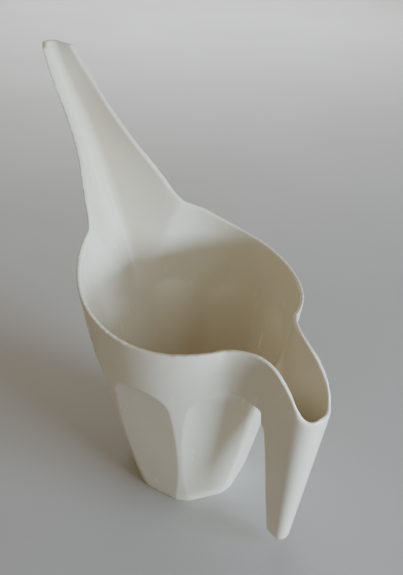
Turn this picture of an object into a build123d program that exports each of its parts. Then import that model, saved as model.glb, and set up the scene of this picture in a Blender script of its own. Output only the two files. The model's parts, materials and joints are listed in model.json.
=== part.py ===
from build123d import *
import math
import os

# A small open watering can, moulded in one piece. Millimetres, +Z up.
# Origin: centre of the flat underside, on the cup's axis.
# +X points towards the spout, -X towards the handle, and y = 0 is the mirror plane.

# Wall
WALL = 2.5
FLOOR = 2.8
SLOPED_WALL = 3.0

# Cup: a cone with slightly barrelled sides, turned about Z.
BASE_RADIUS = 42.0
WAIST_HEIGHT, WAIST_RADIUS = 105.0, 62.6
CUP_TOP_HEIGHT, CUP_TOP_RADIUS = 210.0, 73.7

# Facets: flats that lean outwards, then curve out to meet the cone in an arch.
FACET_COUNT = 8
FACET_BASE_DISTANCE = 40.5
FACET_BEND_HEIGHT, FACET_BEND_DISTANCE = 108.0, 59.9
ARCH_HEIGHT, ARCH_DISTANCE = 123.5, 65.25
ARCH_RUN_OUT = 12.0
FACET_CUT_REACH = 95.0

# Spout: level sections of the trough, from its root on the cup to above the lip.
# Each is (height, reach of the keel, half angle between the side walls, nose radius).
SPOUT_STATIONS = [
    (113.0, 62.6, 68.0, 20.0),
    (134.0, 71.0, 60.0, 16.0),
    (149.0, 79.4, 50.0, 12.5),
    (165.0, 89.0, 43.5, 12.0),
    (180.0, 98.4, 40.0, 12.0),
    (206.0, 115.8, 33.5, 11.0),
    (235.0, 137.2, 29.5, 9.0),
    (274.0, 169.0, 28.0, 7.6),
    (292.0, 184.0, 28.0, 7.0),
]
SPOUT_WALL_SETBACK = 5.0
SPOUT_ROOT_HALF_WIDTH = 4.0

# Handle: a tapered hollow fin that flares into the cup through a narrow neck.
# Each "lean" is the change for one millimetre of height.
HANDLE_BOTTOM = 14.8
HANDLE_TOP = 172.0
HANDLE_SECTION_HEIGHTS = (HANDLE_BOTTOM, 65.0, 115.0, HANDLE_TOP)
HANDLE_BACK_AT_ZERO, HANDLE_BACK_LEAN = 100.7, 0.096
HANDLE_FRONT_AT_ZERO, HANDLE_FRONT_LEAN = 88.5, 0.075
HANDLE_HALF_WIDTH_AT_ZERO, HANDLE_WIDTH_LEAN = 4.9, 0.064
HANDLE_BACK_RADIUS_AT_ZERO, HANDLE_BACK_RADIUS_LEAN = 4.36, 0.0534
HANDLE_FRONT_RADIUS = 4.1
HANDLE_TIP_RADIUS = 0.8
NECK_RADIUS = 33.0
NECK_BITE = 0.6
NECK_ROOT_SHARE = 0.8

# Finger gap between the handle and the cup, closed above by the underside of the neck.
GAP_ROOF_HEIGHT = 115.0
GAP_ROOF_RADIUS = 15.0
GAP_SIDE_START, GAP_SIDE_RISE, GAP_SIDE_SLOPE = 7.5, 24.0, 1.0

# Rim in side view, from behind the handle to the spout; the lip is trimmed nearly level.
RIM_POINTS = [
    (-124.0, 131.6),
    (-115.0, 131.9),
    (-110.0, 133.9),
    (-106.8, 138.6),
    (-103.5, 144.2),
    (-98.5, 149.8),
    (-90.5, 156.2),
    (-75.0, 160.8),
    (-48.0, 157.6),
    (-22.0, 157.6),
    (8.0, 162.0),
    (35.0, 168.6),
    (58.0, 182.0),
    (83.0, 206.3),
    (114.0, 234.6),
    (133.0, 251.4),
    (160.0, 279.0),
]
LIP_HEIGHT, LIP_AT, LIP_SLOPE = 273.0, 160.0, 0.15
LIP_CORNER_RADIUS = 3.0

# Planes where one region of the moulding ends and the next begins.
BOWL_HEIGHT = 131.0
SPOUT_ROOT_LOW = (66.8, 110.0)
SPOUT_ROOT_HIGH = (60.0, 190.0)
BRIDGE_START = -62.0
BRIDGE_END = -76.5

# How far the cutting shapes reach: sideways, upwards, and below the underside.
REACH = 260.0
CUT_TOP = 390.0
CUT_BELOW = -10.0
NEAR = 1.0


def side_arc():
    """Centre (x, z) and radius, in the XZ plane, of the arc that is the cup's side."""
    x1, z1 = BASE_RADIUS, 0.0
    x2, z2 = WAIST_RADIUS, WAIST_HEIGHT
    x3, z3 = CUP_TOP_RADIUS, CUP_TOP_HEIGHT
    d = 2 * (x1 * (z2 - z3) + x2 * (z3 - z1) + x3 * (z1 - z2))
    s1, s2, s3 = x1**2 + z1**2, x2**2 + z2**2, x3**2 + z3**2
    cx = (s1 * (z2 - z3) + s2 * (z3 - z1) + s3 * (z1 - z2)) / d
    cz = (s1 * (x3 - x2) + s2 * (x1 - x3) + s3 * (x2 - x1)) / d
    return cx, cz, math.hypot(x1 - cx, z1 - cz)


def cup_radius(height):
    """Outer radius of the cup at a height above its base."""
    cx, cz, radius = side_arc()
    return cx + math.sqrt(radius**2 - (height - cz) ** 2)


def across(face):
    """Prism of a side-view face, as wide as the whole can on both sides of y = 0."""
    return extrude(face, amount=REACH / 2, both=True)


def side_face(points):
    """Straight-sided face in the XZ plane from (x, z) points."""
    return make_face(Plane.XZ * Polyline(*points, close=True))


def side_box(low, high):
    """Face in the XZ plane between two opposite (x, z) corners."""
    return side_face([low, (high[0], low[1]), high, (low[0], high[1])])


def cup_solid(inset, bottom):
    """The cup filled in, its side moved inwards by inset, standing on bottom."""
    top = CUP_TOP_HEIGHT
    middle = (bottom + top) / 2
    side = ThreePointArc(
        (cup_radius(bottom) - inset, bottom),
        (cup_radius(middle) - inset, middle),
        (cup_radius(top) - inset, top),
    )
    axis_line = Polyline(side @ 1, (0, top), (0, bottom), side @ 0)
    body = revolve(make_face(Plane.XZ * Curve([side, axis_line])), axis=Axis.Z)
    for cutter in facet_cutters(inset):
        body -= cutter
    return body


def facet_cutters(inset):
    """One prism for each facet, its inner face being the facet's surface."""
    lean = (FACET_BEND_DISTANCE - FACET_BASE_DISTANCE) / FACET_BEND_HEIGHT
    foot = (FACET_BASE_DISTANCE + lean * CUT_BELOW - inset, CUT_BELOW)
    bend = (FACET_BEND_DISTANCE - inset, FACET_BEND_HEIGHT)
    flat = Line(foot, bend)
    curl = TangentArc(bend, (ARCH_DISTANCE - inset, ARCH_HEIGHT), tangent=(lean, 1.0))
    run_out = Line(curl @ 1, (curl @ 1) + (curl % 1) * ARCH_RUN_OUT)
    top = (run_out @ 1).Y
    back = Polyline(run_out @ 1, (FACET_CUT_REACH, top), (FACET_CUT_REACH, CUT_BELOW), foot)
    profile = make_face(Plane.XZ * Curve([flat, curl, run_out, back]))
    prism = extrude(profile, amount=BASE_RADIUS, both=True)
    step = 360 / FACET_COUNT
    return [Rot(0, 0, step * (index + 0.5)) * prism for index in range(FACET_COUNT)]


def spout_section(height, reach, half_angle, nose, inset):
    """Level section of the spout: a rounded nose and two walls that run back into the cup."""
    angle = math.radians(half_angle)
    nose = nose - inset
    reach = reach - inset
    centre = reach - nose
    touch = (centre + nose * math.sin(angle), nose * math.cos(angle))
    direction = (-math.cos(angle), math.sin(angle))
    inside = cup_radius(min(height, CUP_TOP_HEIGHT)) - inset - SPOUT_WALL_SETBACK
    along = -(touch[0] * direction[0] + touch[1] * direction[1])
    square = along**2 + inside**2 - touch[0] ** 2 - touch[1] ** 2
    run = along - math.sqrt(square) if square > 0 else along
    run = max(run, SPOUT_ROOT_HALF_WIDTH)
    end = (touch[0] + run * direction[0], touch[1] + run * direction[1])
    left = Line(end, touch)
    arc = ThreePointArc(touch, (reach, 0), (touch[0], -touch[1]))
    right = Line((touch[0], -touch[1]), (end[0], -end[1]))
    closing = Line((end[0], -end[1]), end)
    return Pos(0, 0, height) * make_face([left, arc, right, closing])


def spout_solid(inset):
    """The spout filled in."""
    return loft([spout_section(*station, inset) for station in SPOUT_STATIONS])


def handle_section(height, inset):
    """Level section of the handle and neck: a rounded back, straight sides, flared into the cup."""
    back = -(HANDLE_BACK_AT_ZERO + HANDLE_BACK_LEAN * height) + inset
    half = HANDLE_HALF_WIDTH_AT_ZERO + HANDLE_WIDTH_LEAN * height - inset
    corner = HANDLE_BACK_RADIUS_AT_ZERO + HANDLE_BACK_RADIUS_LEAN * height - inset
    flare = NECK_RADIUS + inset
    round_cup = cup_radius(height) - inset - NECK_BITE
    flare_x = -math.sqrt((round_cup + flare) ** 2 - (half + flare) ** 2)
    share = round_cup / (round_cup + flare)
    meet = (flare_x * share, (half + flare) * share)
    middle_angle = math.atan2(meet[1] - half - flare, meet[0] - flare_x)
    middle_angle = (middle_angle - math.pi / 2) / 2
    middle = (flare_x + flare * math.cos(middle_angle), half + flare + flare * math.sin(middle_angle))
    slack = corner * (1 - math.sqrt(0.5))
    upper = [
        ThreePointArc((back, half - corner), (back + slack, half - slack), (back + corner, half)),
        Line((back + corner, half), (flare_x, half)),
        ThreePointArc((flare_x, half), middle, meet),
        Line(meet, (meet[0] * NECK_ROOT_SHARE, 0)),
    ]
    lower = [mirror(edge, about=Plane.XZ) for edge in upper]
    end = Line((back, half - corner), (back, corner - half))
    return Pos(0, 0, height) * make_face(upper + lower + [end])


def handle_front(height):
    """Where, in side view, the side of the handle that faces the cup lies at a height."""
    return -(HANDLE_FRONT_AT_ZERO - HANDLE_FRONT_LEAN * height)


def gap_cutter(inset):
    """Everything in front of the handle and below the neck, the roof rising to both sides."""
    roof = GAP_ROOF_HEIGHT + inset
    corner = (handle_front(roof) - inset, roof)
    foot = (handle_front(CUT_BELOW) - inset, CUT_BELOW)
    outline = make_face(Polyline(foot, corner, (0, roof), (0, CUT_BELOW), close=True))
    nearest = outline.vertices().sort_by(lambda v: math.dist((v.X, v.Y), corner))[0]
    prism = across(Plane.XZ * fillet(nearest, GAP_ROOF_RADIUS + inset))
    wide = GAP_SIDE_START + GAP_SIDE_RISE * GAP_SIDE_SLOPE
    middle = roof - GAP_SIDE_RISE
    for side in (1, -1):
        valley = [(-wide, roof + GAP_SIDE_RISE), (-GAP_SIDE_START, roof), (-GAP_SIDE_START, middle), (-wide, middle)]
        flank_face = make_face(Plane.YZ * Polyline(*[(side * y, z) for y, z in valley], close=True))
        flank = extrude(flank_face, amount=-corner[0], dir=(1, 0, 0))
        prism += Pos(corner[0], 0, 0) * flank
    return prism


def handle_solid(inset):
    """The handle and neck filled in, with the finger gap taken out and its edges rounded."""
    bottom = HANDLE_BOTTOM + inset
    heights = (bottom,) + HANDLE_SECTION_HEIGHTS[1:]
    body = loft([handle_section(height, inset) for height in heights])
    body -= gap_cutter(inset)
    front = body.edges().filter_by(lambda edge: front_edge(edge, inset))
    body = fillet(front, HANDLE_FRONT_RADIUS - inset)
    tip_edges = body.edges().filter_by(lambda edge: edge.bounding_box().max.Z < bottom + NEAR / 2)
    return fillet(tip_edges, HANDLE_TIP_RADIUS)


def front_edge(edge, inset):
    """Whether an edge is one of the two long edges on the side of the handle that faces the cup."""
    middle = edge @ 0.5
    on_front = abs(middle.X - handle_front(middle.Z) + inset) < NEAR
    return on_front and edge.length > GAP_ROOF_HEIGHT / 2 and abs(middle.Y) > NEAR


def rim_envelope():
    """Everything below the rim and the lip, as a prism across the can."""
    rim = Spline(*RIM_POINTS)
    front_top, back_top = rim @ 1, rim @ 0
    below = Polyline(
        front_top,
        (REACH, front_top.Y),
        (REACH, CUT_BELOW),
        (-REACH / 2, CUT_BELOW),
        (-REACH / 2, back_top.Y),
        back_top,
    )
    envelope = across(make_face(Plane.XZ * Curve([rim, below])))
    rise = LIP_SLOPE * REACH
    lip = [
        (LIP_AT - REACH, LIP_HEIGHT - rise),
        (LIP_AT + REACH, LIP_HEIGHT + rise),
        (LIP_AT + REACH, LIP_HEIGHT + REACH + rise),
        (LIP_AT - REACH, LIP_HEIGHT + REACH + rise),
    ]
    envelope -= across(side_face(lip))
    corner = envelope.edges().sort_by(lambda edge: math.dist(tuple(edge @ 0.5), (LIP_AT, 0, LIP_HEIGHT)))[0]
    return fillet(corner, LIP_CORNER_RADIUS)


def moulding():
    """The whole can as one skin, before it is divided into its regions."""
    outside = cup_solid(0.0, 0.0) + spout_solid(0.0) + handle_solid(0.0)
    inside = cup_solid(WALL, FLOOR) + spout_solid(SLOPED_WALL) + handle_solid(WALL)
    return (outside - inside) & rim_envelope()


def regions(can):
    """The moulding divided into named regions that meet face to face."""
    (low_x, low_z), (high_x, high_z) = SPOUT_ROOT_LOW, SPOUT_ROOT_HIGH
    lean = (high_x - low_x) / (high_z - low_z)
    top_x = low_x + lean * (CUT_TOP - low_z)
    foot_x = low_x - lean * low_z
    ahead = across(side_face([(foot_x, 0), (REACH, 0), (REACH, CUT_TOP), (top_x, CUT_TOP)]))
    ahead -= across(side_box((0, CUT_BELOW), (REACH, low_z)))
    behind = across(side_box((-REACH, CUT_BELOW), (BRIDGE_START, CUT_TOP)))
    beyond = across(side_box((-REACH, CUT_BELOW), (BRIDGE_END, CUT_TOP)))
    slab = across(side_box((-REACH, CUT_BELOW), (REACH, FLOOR)))
    lower = across(side_box((-REACH, CUT_BELOW), (REACH, BOWL_HEIGHT)))
    right_half = extrude(side_box((-REACH, CUT_BELOW), (REACH, CUT_TOP)), amount=REACH)
    middle = can - ahead - behind
    return {
        "base_floor": middle & slab,
        "faceted_cup": (middle & lower) - slab,
        "left_bowl_wall": (middle - lower) - right_half,
        "right_bowl_wall": (middle - lower) & right_half,
        "spout_trough": can & ahead,
        "handle_bridge": (can & behind) - beyond,
        "hollow_handle": can & beyond,
    }


if __name__ == "__main__":
    os.makedirs("parts", exist_ok=True)
    for node, shape in regions(moulding()).items():
        export_step(shape, f"parts/{node}.step")
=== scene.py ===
"""Looks of a small open watering can that is moulded in one piece.

The CAD regions of the moulding are fused into one seamless skin, its creases are eased as a
mould maker would ease them, and the skin is dressed in a satin ivory plastic.
"""

import json
import logging
import math
from dataclasses import dataclass, field
from enum import Enum

import bmesh
import bpy
import numpy
from mathutils import Matrix, Vector

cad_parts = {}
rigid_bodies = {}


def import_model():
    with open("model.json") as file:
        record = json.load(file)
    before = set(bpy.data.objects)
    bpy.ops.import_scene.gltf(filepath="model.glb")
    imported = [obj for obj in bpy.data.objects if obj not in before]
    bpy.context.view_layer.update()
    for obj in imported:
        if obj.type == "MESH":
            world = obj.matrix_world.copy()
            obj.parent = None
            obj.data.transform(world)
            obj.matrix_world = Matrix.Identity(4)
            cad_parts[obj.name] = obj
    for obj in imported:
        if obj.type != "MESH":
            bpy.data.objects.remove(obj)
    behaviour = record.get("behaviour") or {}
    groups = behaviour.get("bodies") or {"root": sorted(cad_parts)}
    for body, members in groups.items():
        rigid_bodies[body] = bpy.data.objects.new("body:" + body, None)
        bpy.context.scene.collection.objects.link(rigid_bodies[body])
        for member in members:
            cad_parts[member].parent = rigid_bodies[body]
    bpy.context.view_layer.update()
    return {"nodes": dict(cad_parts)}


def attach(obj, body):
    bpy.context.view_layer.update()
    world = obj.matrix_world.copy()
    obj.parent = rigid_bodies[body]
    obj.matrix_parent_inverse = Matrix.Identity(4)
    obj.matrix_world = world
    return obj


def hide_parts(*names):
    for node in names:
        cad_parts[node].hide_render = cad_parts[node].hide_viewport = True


for leftover in list(bpy.data.objects):
    bpy.data.objects.remove(leftover)

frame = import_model()

MM = 0.001
NONE_TO_ALL = (0.0, 1.0)
LOG = logging.getLogger("watering_can")

Point = tuple[float, float, float]
Colour = tuple[float, float, float, float]


class Arithmetic(Enum):
    """How a material combines two values."""

    ADD = "ADD"
    MULTIPLY = "MULTIPLY"


@dataclass(frozen=True)
class Easing:
    """A crease of the moulding that is rounded off, mirrored to both sides of the can.

    Attributes:
        name: Name of the crease.
        path: Points along the crease in millimetres, on the side where y is positive.
        full: Distance from the path within which the easing works fully, in millimetres.
        fade: Distance at which it has faded to nothing, in millimetres.
        turns: How many times the surface there is relaxed.
    """

    name: str
    path: tuple[Point, ...]
    full: float
    fade: float
    turns: int

    def weights(self, spots: numpy.ndarray) -> numpy.ndarray:
        """How strongly the easing works at each spot.

        Args:
            spots: Points in millimetres, one row each.

        Returns:
            One weight from 0 to 1 for each spot.
        """
        mirrored = spots.copy()
        mirrored[:, 1] = numpy.abs(mirrored[:, 1])
        gap = numpy.full(len(spots), numpy.inf)
        for start, end in zip(self.path, self.path[1:]):
            start, run = numpy.array(start), numpy.array(end) - numpy.array(start)
            share = numpy.clip((mirrored - start) @ run / (run @ run), 0.0, 1.0)
            nearest = start + share[:, None] * run
            gap = numpy.minimum(gap, numpy.linalg.norm(mirrored - nearest, axis=1))
        return smooth_step(1.0 - (gap - self.full) / (self.fade - self.full))


@dataclass(frozen=True)
class CupEasing:
    """Softens the inner face of the cup, where the facets are less crisp than outside.

    Attributes:
        name: Name of the easing.
        low: Height where it starts, in millimetres.
        high: Height where it ends, in millimetres.
        fade: Height over which it fades at both ends, in millimetres.
        reach: Greatest distance from the cup's axis, along X, in millimetres.
        turns: How many times the surface there is relaxed.
        facing_gain: How fast the easing sets in as a surface turns towards the axis.
    """

    name: str = "inner_cup"
    low: float = 6.0
    high: float = 140.0
    fade: float = 8.0
    reach: float = 60.0
    turns: int = 260
    facing_gain: float = 3.0

    def weights(self, spots: numpy.ndarray, outward: numpy.ndarray) -> numpy.ndarray:
        """How strongly the easing works at each spot.

        Args:
            spots: Points in millimetres, one row each.
            outward: Surface normals at those points.

        Returns:
            One weight from 0 to 1 for each spot.
        """
        distance = numpy.maximum(numpy.linalg.norm(spots[:, :2], axis=1), 1.0)
        radial = spots[:, :2] / distance[:, None]
        facing_in = -(radial * outward[:, :2]).sum(axis=1)
        rise = numpy.minimum(spots[:, 2] - self.low, self.high - spots[:, 2]) / self.fade
        near = (self.reach - numpy.abs(spots[:, 0])) / self.fade
        return smooth_step(numpy.minimum(numpy.minimum(rise, near), facing_in * self.facing_gain))


def smooth_step(share: numpy.ndarray) -> numpy.ndarray:
    """Ease a share so that it starts and ends gently, held between 0 and 1."""
    held = numpy.clip(share, 0.0, 1.0)
    return held * held * (3.0 - 2.0 * held)


@dataclass(frozen=True)
class Pattern:
    """A noise pattern that runs through the solid.

    Attributes:
        scale: Cells in a metre.
        detail: Octaves of finer noise.
        stretch: Factor on the scale along each axis.
    """

    scale: float
    detail: float
    stretch: Point = (1.0, 1.0, 1.0)


class MaterialBench:
    """Builds one node material around its Principled shader."""

    def __init__(self, name: str) -> None:
        """Start a material with that name."""
        self.material = bpy.data.materials.new(name)
        self.material.use_nodes = True
        self.tree = self.material.node_tree
        self.shader = self.tree.nodes["Principled BSDF"]
        self.place = self.add("ShaderNodeTexCoord").outputs["Object"]

    def add(self, kind: str, **settings: object) -> bpy.types.Node:
        """Add a node.

        Args:
            kind: Blender's name for the node type.
            **settings: Properties of the node.

        Returns:
            The new node.
        """
        node = self.tree.nodes.new(kind)
        for key, value in settings.items():
            setattr(node, key, value)
        return node

    def feed(self, node: bpy.types.Node, **inputs: object) -> bpy.types.Node:
        """Fill inputs of a node with numbers, or with wires from other nodes' sockets.

        Args:
            node: The node that takes the inputs.
            **inputs: Input names, with _ for a space, and what goes into each.

        Returns:
            The same node.
        """
        for key, value in inputs.items():
            socket = node.inputs[key.replace("_", " ")]
            if isinstance(value, bpy.types.NodeSocket):
                self.tree.links.new(value, socket)
            else:
                socket.default_value = value
        return node

    def noise(self, pattern: Pattern) -> bpy.types.NodeSocket:
        """Noise through the solid.

        Args:
            pattern: How coarse and how stretched the noise is.

        Returns:
            The noise's socket, about 0.5 on average.
        """
        place = self.feed(self.add("ShaderNodeMapping"), Vector=self.place, Scale=pattern.stretch)
        node = self.feed(
            self.add("ShaderNodeTexNoise"),
            Vector=place.outputs[0],
            Scale=pattern.scale,
            Detail=pattern.detail,
        )
        return node.outputs["Fac"]

    def ramp(
        self, value: bpy.types.NodeSocket, source: tuple[float, float], target: tuple[float, float]
    ) -> bpy.types.NodeSocket:
        """Stretch a value from one range onto another and hold it there.

        Args:
            value: The socket that is read.
            source: Range of the value that is used.
            target: Range that it is mapped onto.

        Returns:
            The mapped value's socket.
        """
        node = self.add("ShaderNodeMapRange", clamp=True, interpolation_type="SMOOTHSTEP")
        self.feed(node, Value=value, From_Min=source[0], From_Max=source[1])
        self.feed(node, To_Min=target[0], To_Max=target[1])
        return node.outputs["Result"]

    def math(self, way: Arithmetic, first: object, second: object) -> bpy.types.NodeSocket:
        """Combine two values, each a number or a socket."""
        node = self.add("ShaderNodeMath", operation=way.value)
        for socket, value in zip(node.inputs, (first, second)):
            if isinstance(value, bpy.types.NodeSocket):
                self.tree.links.new(value, socket)
            else:
                socket.default_value = value
        return node.outputs[0]

    def blend(self, share: bpy.types.NodeSocket, first: object, second: object) -> bpy.types.NodeSocket:
        """Mix two colours, each a colour or a socket, by a share."""
        node = self.add("ShaderNodeMix", data_type="RGBA")
        self.tree.links.new(share, node.inputs[0])
        for socket, value in zip((node.inputs[6], node.inputs[7]), (first, second)):
            if isinstance(value, bpy.types.NodeSocket):
                self.tree.links.new(value, socket)
            else:
                socket.default_value = value
        return node.outputs[2]

    def relief(
        self, height: bpy.types.NodeSocket, depth: float, below: bpy.types.NodeSocket | None = None
    ) -> bpy.types.NodeSocket:
        """Bump from a height, laid over an earlier bump.

        Args:
            height: Height pattern.
            depth: Depth of the pattern in metres.
            below: Normal of the bump underneath, if any.

        Returns:
            The bumped normal's socket.
        """
        node = self.feed(self.add("ShaderNodeBump"), Height=height, Distance=depth, Strength=1.0)
        if below is not None:
            self.feed(node, Normal=below)
        return node.outputs["Normal"]


@dataclass(frozen=True)
class IvoryPlastic:
    """Satin ivory plastic, slightly translucent, with the marks of moulding and of use."""

    name: str = "ivory_plastic"
    cream: Colour = (0.800, 0.742, 0.590, 1.0)
    bone: Colour = (0.765, 0.700, 0.545, 1.0)
    scuffed: Colour = (0.600, 0.560, 0.470, 1.0)
    gloss: tuple[float, float] = (0.19, 0.27)
    index: float = 1.50
    glow: float = 0.10
    glow_radius: Point = (1.0, 0.62, 0.28)
    glow_depth: float = 5.0 * MM
    foot_wear: float = 5.0 * MM
    grain_depth: float = 0.03 * MM
    polish_depth: float = 0.012 * MM
    peel_depth: float = 0.05 * MM
    scratch_roughness: float = 0.04
    wear_roughness: float = 0.25
    foot_share: float = 0.45
    flow: Pattern = Pattern(22.0, 3.0, (1.0, 1.0, 0.55))
    grain: Pattern = Pattern(1400.0, 2.0)
    peel: Pattern = Pattern(260.0, 2.0)
    polish: Pattern = Pattern(900.0, 2.0, (1.0, 1.0, 0.03))
    scratches: Pattern = Pattern(150.0, 6.0, (1.0, 1.0, 0.12))
    sheen: Pattern = Pattern(60.0, 4.0)
    scuffs: Pattern = Pattern(180.0, 4.0)

    def make(self) -> bpy.types.Material:
        """The finished material."""
        bench = MaterialBench(self.name)
        flow = bench.ramp(bench.noise(self.flow), (0.34, 0.66), NONE_TO_ALL)
        grain = bench.noise(self.grain)
        peel = bench.noise(self.peel)
        polish = bench.noise(self.polish)
        scratches = bench.ramp(bench.noise(self.scratches), (0.60, 0.72), NONE_TO_ALL)
        wear = self.wear(bench)
        colour = bench.blend(flow, self.cream, self.bone)
        colour = bench.blend(wear, colour, self.scuffed)
        rough = bench.ramp(bench.noise(self.sheen), (0.3, 0.7), self.gloss)
        for marks, added in ((scratches, self.scratch_roughness), (wear, self.wear_roughness)):
            rough = bench.math(Arithmetic.ADD, rough, bench.math(Arithmetic.MULTIPLY, marks, added))
        normal = bench.relief(peel, self.peel_depth)
        normal = bench.relief(polish, self.polish_depth, normal)
        normal = bench.relief(grain, self.grain_depth, normal)
        bench.feed(
            bench.shader,
            Base_Color=colour,
            Roughness=rough,
            Normal=normal,
            IOR=self.index,
            Subsurface_Weight=self.glow,
            Subsurface_Radius=self.glow_radius,
            Subsurface_Scale=self.glow_depth,
        )
        return bench.material

    def wear(self, bench: MaterialBench) -> bpy.types.NodeSocket:
        """Scuffing where the foot of the can rubs on what it stands on.

        Args:
            bench: The material that is being made.

        Returns:
            Share of scuffing, from 0 to 1.
        """
        height = bench.feed(bench.add("ShaderNodeSeparateXYZ"), Vector=bench.place).outputs["Z"]
        foot = bench.ramp(height, (0.0, self.foot_wear), (self.foot_share, 0.0))
        broken = bench.ramp(bench.noise(self.scuffs), (0.35, 0.65), NONE_TO_ALL)
        return bench.math(Arithmetic.MULTIPLY, foot, broken)


@dataclass(frozen=True)
class PaleFloor:
    """Plain pale matt floor."""

    name: str = "pale_floor"
    light: Colour = (0.54, 0.53, 0.50, 1.0)
    dark: Colour = (0.51, 0.50, 0.47, 1.0)
    half_size: float = 4.0
    roughness: float = 0.7
    clouds: Pattern = Pattern(3.0, 2.0)

    def build(self) -> bpy.types.Object:
        """The floor as a stage object."""
        made = bmesh.new()
        bmesh.ops.create_grid(made, x_segments=1, y_segments=1, size=self.half_size)
        floor = new_piece(self.name, made)
        bench = MaterialBench(self.name)
        share = bench.ramp(bench.noise(self.clouds), (0.3, 0.7), NONE_TO_ALL)
        colour = bench.blend(share, self.light, self.dark)
        bench.feed(bench.shader, Base_Color=colour, Roughness=self.roughness)
        floor.data.materials.append(bench.material)
        return floor


def new_piece(name: str, made: bmesh.types.BMesh) -> bpy.types.Object:
    """Turn a finished bmesh into an object of the scene.

    Args:
        name: Name of the object and its mesh.
        made: The bmesh, which is freed.

    Returns:
        The new object, at the origin.
    """
    mesh = bpy.data.meshes.new(name)
    made.to_mesh(mesh)
    made.free()
    piece = bpy.data.objects.new(name, mesh)
    bpy.context.scene.collection.objects.link(piece)
    return piece


@dataclass
class MouldedSkin:
    """The whole can as one closed skin with a rounded rim and eased creases."""

    name: str = "moulded_skin"
    slot: str = "moulded_body"
    nodes: tuple[str, ...] = (
        "base_floor",
        "faceted_cup",
        "left_bowl_wall",
        "right_bowl_wall",
        "spout_trough",
        "handle_bridge",
        "hollow_handle",
    )
    merge_gap: float = 0.005 * MM
    voxel: float = 0.7 * MM
    rim_turns: int = 4
    relax_factor: float = 0.5
    weight_levels: int = 20
    most_triangles: int = 190_000
    easings: tuple[Easing, ...] = (
        Easing(
            "spout_root",
            (
                (62, 42, 200),
                (61, 37, 184),
                (64, 27, 165),
                (65.5, 19, 149),
                (66, 12, 134),
                (65, 4, 118),
                (64, 0, 112),
            ),
            full=4.0,
            fade=16.0,
            turns=160,
        ),
        Easing(
            "spout_arches",
            ((61, 14, 124), (59.7, 15.2, 119.4), (60, 18, 114)),
            full=2.0,
            fade=8.0,
            turns=80,
        ),
        Easing("neck_flare", ((-59.4, 31.9, 151), (-58.4, 31, 135)), full=2.0, fade=9.0, turns=120),
        Easing(
            "neck_inside",
            ((-57, 30.5, 149), (-56, 28.5, 138), (-61, 8, 118)),
            full=3.0,
            fade=12.0,
            turns=160,
        ),
        Easing(
            "neck_underside",
            ((-60, 27, 135), (-63, 8, 115), (-64, 0, 115)),
            full=2.0,
            fade=7.0,
            turns=40,
        ),
        Easing(
            "mouth_back",
            ((-104, 12, 144), (-109, 10, 137), (-112, 5, 133)),
            full=1.5,
            fade=8.0,
            turns=50,
        ),
    )
    inner_cup: CupEasing = field(default_factory=CupEasing)

    def build(self) -> bpy.types.Object:
        """The skin, shaped and dressed."""
        piece = self.merged_copy()
        self.remesh(piece)
        self.ease(piece)
        self.thin(piece)
        self.dress(piece)
        return piece

    def merged_copy(self) -> bpy.types.Object:
        """A copy of all CAD regions, joined where they meet."""
        gathered = bmesh.new()
        for node in self.nodes:
            gathered.from_mesh(frame["nodes"][node].data)
        bmesh.ops.remove_doubles(gathered, verts=gathered.verts, dist=self.merge_gap)
        return new_piece(self.name, gathered)

    def remesh(self, piece: bpy.types.Object) -> None:
        """Fuse the regions into one even, closed surface."""
        fused = piece.modifiers.new("fused", "REMESH")
        fused.mode = "VOXEL"
        fused.voxel_size = self.voxel
        fused.use_smooth_shade = True
        self.settle(piece)

    def ease(self, piece: bpy.types.Object) -> None:
        """Round off the creases one by one, then the rim and every other edge a little."""
        for easing in self.easings:
            self.relax(piece, easing.name, easing.turns, easing.weights(self.spots(piece) / MM))
        cup = self.inner_cup
        outward = self.read(piece.data.vertex_normals, "vector")
        self.relax(piece, cup.name, cup.turns, cup.weights(self.spots(piece) / MM, outward))
        self.relax(piece, "rim", self.rim_turns, None)

    def relax(
        self, piece: bpy.types.Object, name: str, turns: int, weights: numpy.ndarray | None
    ) -> None:
        """Smooth a part of the surface.

        Args:
            piece: The skin.
            name: Name of the group of points that moves.
            turns: How many times they are smoothed.
            weights: How strongly each point moves, or None for all of them fully.
        """
        smooth = piece.modifiers.new(name, "SMOOTH")
        smooth.factor = self.relax_factor
        smooth.iterations = turns
        if weights is not None:
            group = piece.vertex_groups.new(name=name)
            levels = numpy.rint(weights * self.weight_levels).astype(int)
            for level in range(1, self.weight_levels + 1):
                members = numpy.flatnonzero(levels == level).tolist()
                if members:
                    group.add(members, level / self.weight_levels, "REPLACE")
            smooth.vertex_group = name
        self.settle(piece)

    def thin(self, piece: bpy.types.Object) -> None:
        """Bring the number of triangles down where the surface is even."""
        triangles = sum(len(polygon.vertices) - 2 for polygon in piece.data.polygons)
        fewer = piece.modifiers.new("fewer", "DECIMATE")
        fewer.ratio = min(1.0, self.most_triangles / triangles)
        self.settle(piece)

    def dress(self, piece: bpy.types.Object) -> None:
        """Give the skin its finish, fix it to the root body and hide the CAD regions that it replaces.
        """
        piece.data.materials.clear()
        piece.data.materials.append(IvoryPlastic().make())
        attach(piece, "root")
        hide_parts(*self.nodes)

    @staticmethod
    def settle(piece: bpy.types.Object) -> None:
        """Apply the live modifiers to the mesh."""
        graph = bpy.context.evaluated_depsgraph_get()
        mesh = bpy.data.meshes.new_from_object(piece.evaluated_get(graph))
        piece.modifiers.clear()
        piece.vertex_groups.clear()
        former, piece.data = piece.data, mesh
        mesh.name = former.name
        bpy.data.meshes.remove(former)

    @staticmethod
    def read(rows: bpy.types.bpy_prop_collection, name: str) -> numpy.ndarray:
        """Read a vector property of many items as rows of numbers."""
        values = numpy.empty(len(rows) * 3, dtype=numpy.float32)
        rows.foreach_get(name, values)
        return values.reshape(-1, 3).astype(float)

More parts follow.
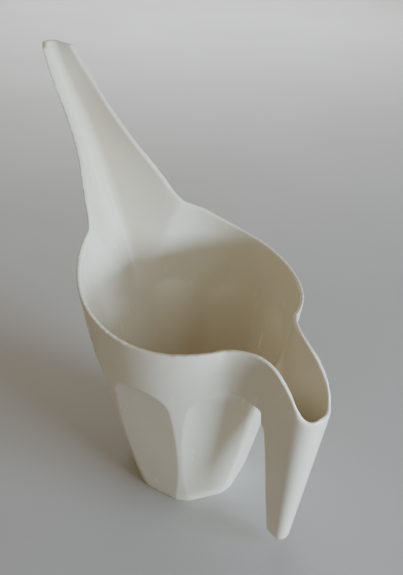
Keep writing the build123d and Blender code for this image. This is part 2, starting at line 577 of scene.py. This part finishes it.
    def spots(self, piece: bpy.types.Object) -> numpy.ndarray:
        """Where the skin's points are, in metres, one row each."""
        return self.read(piece.data.vertices, "co")


@dataclass(frozen=True)
class SoftLight:
    """One soft rectangular light that looks at the can.

    Attributes:
        name: Name of the light.
        azimuth: Where it stands, in degrees from +X towards +Y.
        elevation: Its height, in degrees above the level of the can's middle.
        distance: Its distance in metres.
        width: Its width in metres.
        height: Its height in metres.
        power: Its power in watts.
        colour: Its colour.
        middle: What it looks at, in metres.
        spread: The full angle in which it shines, in degrees.
    """

    name: str
    azimuth: float
    elevation: float
    distance: float
    width: float
    height: float
    power: float
    colour: Point
    middle: Point = (0.0, 0.0, 0.13)
    spread: float = 180.0

    def build(self) -> bpy.types.Object:
        """The light, in its place."""
        data = bpy.data.lights.new(self.name, "AREA")
        data.shape = "RECTANGLE"
        data.size = self.width
        data.size_y = self.height
        data.energy = self.power
        data.color = self.colour
        data.spread = math.radians(self.spread)
        lamp = bpy.data.objects.new(self.name, data)
        turn, rise = math.radians(self.azimuth), math.radians(self.elevation)
        away = Vector((math.cos(turn) * math.cos(rise), math.sin(turn) * math.cos(rise), math.sin(rise)))
        aim = (-away).to_track_quat("-Z", "Y").to_matrix().to_4x4()
        lamp.matrix_world = Matrix.Translation(Vector(self.middle) + away * self.distance) @ aim
        bpy.context.scene.collection.objects.link(lamp)
        return lamp


@dataclass
class Studio:
    """Floor, lights and the air around the can."""

    lights: tuple[SoftLight, ...] = (
        SoftLight(
            "window",
            azimuth=200.0,
            elevation=4.5,
            distance=1.9,
            width=0.85,
            height=0.32,
            power=72.0,
            colour=(0.61, 0.77, 1.0),
        ),
        SoftLight(
            "upper_window",
            azimuth=205.0,
            elevation=38.0,
            distance=1.9,
            width=0.5,
            height=0.9,
            power=8.0,
            colour=(0.62, 0.77, 1.0),
        ),
        SoftLight(
            "ceiling",
            azimuth=0.0,
            elevation=90.0,
            distance=1.6,
            width=2.4,
            height=2.4,
            power=36.0,
            colour=(0.86, 0.93, 1.0),
            middle=(1.75, -1.4, 0.0),
            spread=80.0,
        ),
    )
    air: Colour = (1.0, 0.86, 0.65, 1.0)
    air_strength: float = 0.30

    def build(self) -> None:
        """Set the stage."""
        PaleFloor().build()
        for light in self.lights:
            light.build()
        world = bpy.data.worlds.new("soft_air")
        world.use_nodes = True
        background = world.node_tree.nodes["Background"]
        background.inputs["Color"].default_value = self.air
        background.inputs["Strength"].default_value = self.air_strength
        bpy.context.scene.world = world


@dataclass
class Viewpoint:
    """The camera, held above and behind the handle."""

    place: Point = (-239.42, 186.67, 358.55)
    yaw: float = -39.7
    pitch: float = 33.7
    roll: float = 1.8
    lens: float = 36.38
    sensor: float = 36.0
    shift: float = -0.0104

    def build(self) -> bpy.types.Object:
        """The scene's camera."""
        data = bpy.data.cameras.new("camera")
        data.lens = self.lens
        data.sensor_width = self.sensor
        data.shift_x = self.shift
        camera = bpy.data.objects.new("camera", data)
        turn = Matrix.Rotation(math.radians(self.yaw - 90.0), 4, "Z")
        tilt = Matrix.Rotation(math.radians(90.0 - self.pitch), 4, "X")
        lean = Matrix.Rotation(math.radians(self.roll), 4, "Z")
        camera.matrix_world = Matrix.Translation(Vector(self.place) * MM) @ turn @ tilt @ lean
        bpy.context.scene.collection.objects.link(camera)
        bpy.context.scene.camera = camera
        return camera


def main() -> None:
    """Build the scene in order and report each piece."""
    skin = MouldedSkin().build()
    LOG.info("%s: %d triangles", skin.name, len(skin.data.polygons))
    Studio().build()
    LOG.info("studio: floor, lights and air")
    camera = Viewpoint().build()
    LOG.info("%s: lens %.1f", camera.name, camera.data.lens)


if __name__ == "__main__":
    logging.basicConfig(level=logging.INFO)
    main()
